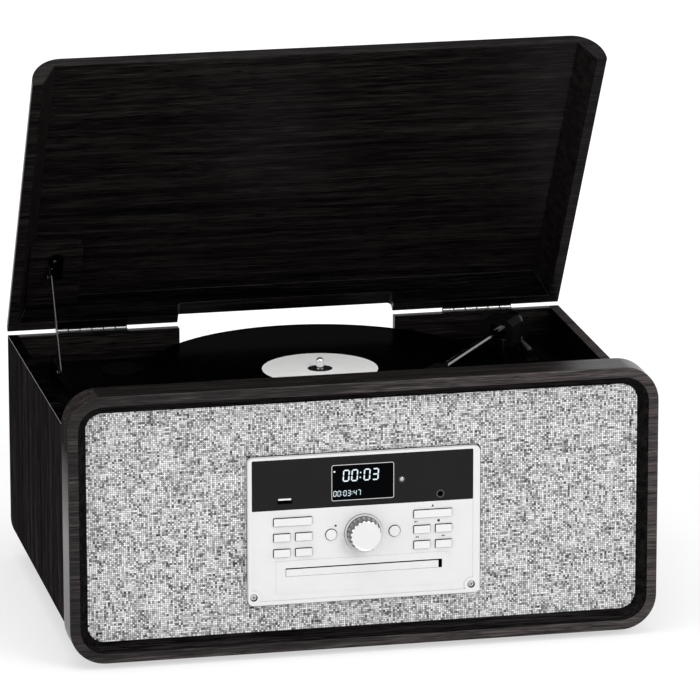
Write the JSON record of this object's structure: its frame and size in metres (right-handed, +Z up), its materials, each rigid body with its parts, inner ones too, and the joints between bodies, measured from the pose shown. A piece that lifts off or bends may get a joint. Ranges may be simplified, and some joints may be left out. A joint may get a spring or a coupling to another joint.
{
  "type": "stereo music centre",
  "caption": "Wooden stereo music centre: hinged lid over a belt-drive turntable, woven front grille, control panel with display, keys, knob and disc tray.",
  "frame": {"origin": "middle of the floor area that the part covers with its lid open, at the feet's lower faces", "axes": "+X to the right seen from the front, along the cabinet's width; +Y from the front grille to the back; +Z up"},
  "size_m": [0.5, 0.373, 0.4755],
  "materials": {
    "veneer": "dark wood-grain veneer, satin",
    "board": "fibreboard, black",
    "cloth": "light grey heather weave",
    "rubber": "matt",
    "mat_rubber": "matt",
    "silver_plastic": "silver-white paint, satin",
    "key_plastic": "silver paint, satin",
    "black_gloss": "gloss",
    "display": "dark window",
    "steel": "satin",
    "chrome": "polished",
    "aluminium": "turned",
    "silver_metal": "polished",
    "black_metal": "satin",
    "black_plastic": "satin",
    "deck_plastic": "fine texture",
    "white_plastic": "satin",
    "circuit_board": "satin",
    "vinyl": "pressed grooves",
    "brass": "turned",
    "cone_paper": "pressed paper"
  },
  "bodies": {
    "cabinet": {"cabinet_shell": "veneer", "back_panel": "veneer", "rubber_feet": "rubber", "front_bezel": "veneer", "grille_cloth": "cloth", "speaker_baffle": "board", "stay_track": "steel", "hinge_cabinet_leaves": "steel", "display_fascia": "black_gloss", "faceplate": "silver_plastic", "faceplate_screws": "steel", "control_board": "circuit_board", "display_module": "display", "usb_socket": "steel", "audio_jack": "black_plastic", "cd_drive": "steel", "main_board": "circuit_board", "rear_sockets": "steel", "terminal_plate": "black_plastic", "mains_inlet": "black_plastic", "speaker_frames": "steel", "speaker_cones": "cone_paper", "turntable_deck": "deck_plastic", "spindle_bearing": "brass", "drive_belt": "rubber", "turntable_motor": "steel", "arm_base": "deck_plastic", "arm_rest": "black_plastic", "adapter_45": "black_plastic"},
    "lid": {"lid": "veneer", "stay_lid_bracket": "steel", "hinge_lid_leaves": "steel"},
    "stay_arm": {"stay_arm": "steel"},
    "volume_knob": {"volume_knob": "chrome"},
    "cd_tray": {"cd_tray": "silver_plastic"},
    "platter": {"platter": "aluminium", "slip_mat": "mat_rubber", "platter_spindle": "steel", "record": "vinyl"},
    "motor_pulley": {"motor_pulley": "brass"},
    "arm_turret": {"arm_turret": "black_plastic"},
    "tonearm": {"arm_tube": "silver_metal", "headshell": "black_plastic", "counterweight": "black_metal"},
    "cue_lever": {"cue_lever": "white_plastic"},
    "lift_bar": {"lift_bar": "steel"},
    "speed_switch": {"speed_switch": "silver_plastic"},
    "key_power": {"key_power": "key_plastic"},
    "key_left_1": {"key_left_1": "key_plastic"},
    "key_left_2": {"key_left_2": "key_plastic"},
    "key_left_3": {"key_left_3": "key_plastic"},
    "key_left_4": {"key_left_4": "key_plastic"},
    "key_mode": {"key_mode": "key_plastic"},
    "key_right_1": {"key_right_1": "key_plastic"},
    "key_right_2": {"key_right_2": "key_plastic"},
    "key_right_3": {"key_right_3": "key_plastic"},
    "key_right_4": {"key_right_4": "key_plastic"},
    "round_key_left": {"round_key_left": "key_plastic"},
    "round_key_right": {"round_key_right": "key_plastic"}
  },
  "joints": [
    {"name": "lid_hinge", "type": "hinge", "parent": "cabinet", "child": "lid", "pos_m": [0, 0.16201, 0.20125], "axis": [-1, 0, 0], "range_deg": [-57, 0]},
    {"name": "stay_pivot", "type": "hinge", "parent": "lid", "child": "stay_arm", "pos_m": [-0.2147, 0.12547, 0.25926], "axis": [1, 0, 0], "range_deg": [-105, 0]},
    {"name": "platter_spin", "type": "hinge", "parent": "cabinet", "child": "platter", "pos_m": [0.004, 0.03006, 0.1765], "axis": [0, 0, -1], "continuous": true},
    {"name": "pulley_spin", "type": "hinge", "parent": "cabinet", "child": "motor_pulley", "pos_m": [-0.06355, 0.06906, 0.1765], "axis": [0, 0, -1], "continuous": true},
    {"name": "arm_swing", "type": "hinge", "parent": "cabinet", "child": "arm_turret", "pos_m": [0.1774, 0.08346, 0.202], "axis": [0, 0, -1], "range_deg": [-34.3, 21]},
    {"name": "arm_lift", "type": "hinge", "parent": "arm_turret", "child": "tonearm", "pos_m": [0.1774, 0.08346, 0.202], "axis": [-0.8261, 0.5635, 0], "range_deg": [-0.8, 5]},
    {"name": "cue_lever_hinge", "type": "hinge", "parent": "cabinet", "child": "cue_lever", "pos_m": [0.198, 0.10046, 0.186], "axis": [1, 0, 0], "range_deg": [-25, 0]},
    {"name": "lift_bar_slide", "type": "slide", "parent": "cabinet", "child": "lift_bar", "axis": [0, 0, 1], "range_m": [-0.00405, 0]},
    {"name": "speed_switch_slide", "type": "slide", "parent": "cabinet", "child": "speed_switch", "axis": [0, 1, 0], "range_m": [-0.005, 0.005]},
    {"name": "cd_tray_slide", "type": "slide", "parent": "cabinet", "child": "cd_tray", "axis": [0, -1, 0], "range_m": [0, 0.132]},
    {"name": "knob_turn", "type": "hinge", "parent": "cabinet", "child": "volume_knob", "pos_m": [-0.0015, -0.17454, 0.1035], "axis": [0, 1, 0], "continuous": true},
    {"name": "key_power_press", "type": "slide", "parent": "cabinet", "child": "key_power", "axis": [0, 1, 0], "range_m": [0, 0.0008], "stiffness_N_per_m": 1000, "springref_m": -0.0005},
    {"name": "key_left_1_press", "type": "slide", "parent": "cabinet", "child": "key_left_1", "axis": [0, 1, 0], "range_m": [0, 0.0008], "stiffness_N_per_m": 1000, "springref_m": -0.0005},
    {"name": "key_left_2_press", "type": "slide", "parent": "cabinet", "child": "key_left_2", "axis": [0, 1, 0], "range_m": [0, 0.0008], "stiffness_N_per_m": 1000, "springref_m": -0.0005},
    {"name": "key_left_3_press", "type": "slide", "parent": "cabinet", "child": "key_left_3", "axis": [0, 1, 0], "range_m": [0, 0.0008], "stiffness_N_per_m": 1000, "springref_m": -0.0005},
    {"name": "key_left_4_press", "type": "slide", "parent": "cabinet", "child": "key_left_4", "axis": [0, 1, 0], "range_m": [0, 0.0008], "stiffness_N_per_m": 1000, "springref_m": -0.0005},
    {"name": "key_mode_press", "type": "slide", "parent": "cabinet", "child": "key_mode", "axis": [0, 1, 0], "range_m": [0, 0.0008], "stiffness_N_per_m": 1000, "springref_m": -0.0005},
    {"name": "key_right_1_press", "type": "slide", "parent": "cabinet", "child": "key_right_1", "axis": [0, 1, 0], "range_m": [0, 0.0008], "stiffness_N_per_m": 1000, "springref_m": -0.0005},
    {"name": "key_right_2_press", "type": "slide", "parent": "cabinet", "child": "key_right_2", "axis": [0, 1, 0], "range_m": [0, 0.0008], "stiffness_N_per_m": 1000, "springref_m": -0.0005},
    {"name": "key_right_3_press", "type": "slide", "parent": "cabinet", "child": "key_right_3", "axis": [0, 1, 0], "range_m": [0, 0.0008], "stiffness_N_per_m": 1000, "springref_m": -0.0005},
    {"name": "key_right_4_press", "type": "slide", "parent": "cabinet", "child": "key_right_4", "axis": [0, 1, 0], "range_m": [0, 0.0008], "stiffness_N_per_m": 1000, "springref_m": -0.0005},
    {"name": "round_key_left_press", "type": "slide", "parent": "cabinet", "child": "round_key_left", "axis": [0, 1, 0], "range_m": [0, 0.0008], "stiffness_N_per_m": 1000, "springref_m": -0.0005},
    {"name": "round_key_right_press", "type": "slide", "parent": "cabinet", "child": "round_key_right", "axis": [0, 1, 0], "range_m": [0, 0.0008], "stiffness_N_per_m": 1000, "springref_m": -0.0005}
  ],
  "couplings": [
    {"joint": "stay_pivot", "follows": "lid_hinge", "ratio": 1.8259},
    {"joint": "pulley_spin", "follows": "platter_spin", "ratio": 10.909},
    {"joint": "lift_bar_slide", "follows": "cue_lever_hinge", "m_per_rad": 0.0091673}
  ]
}
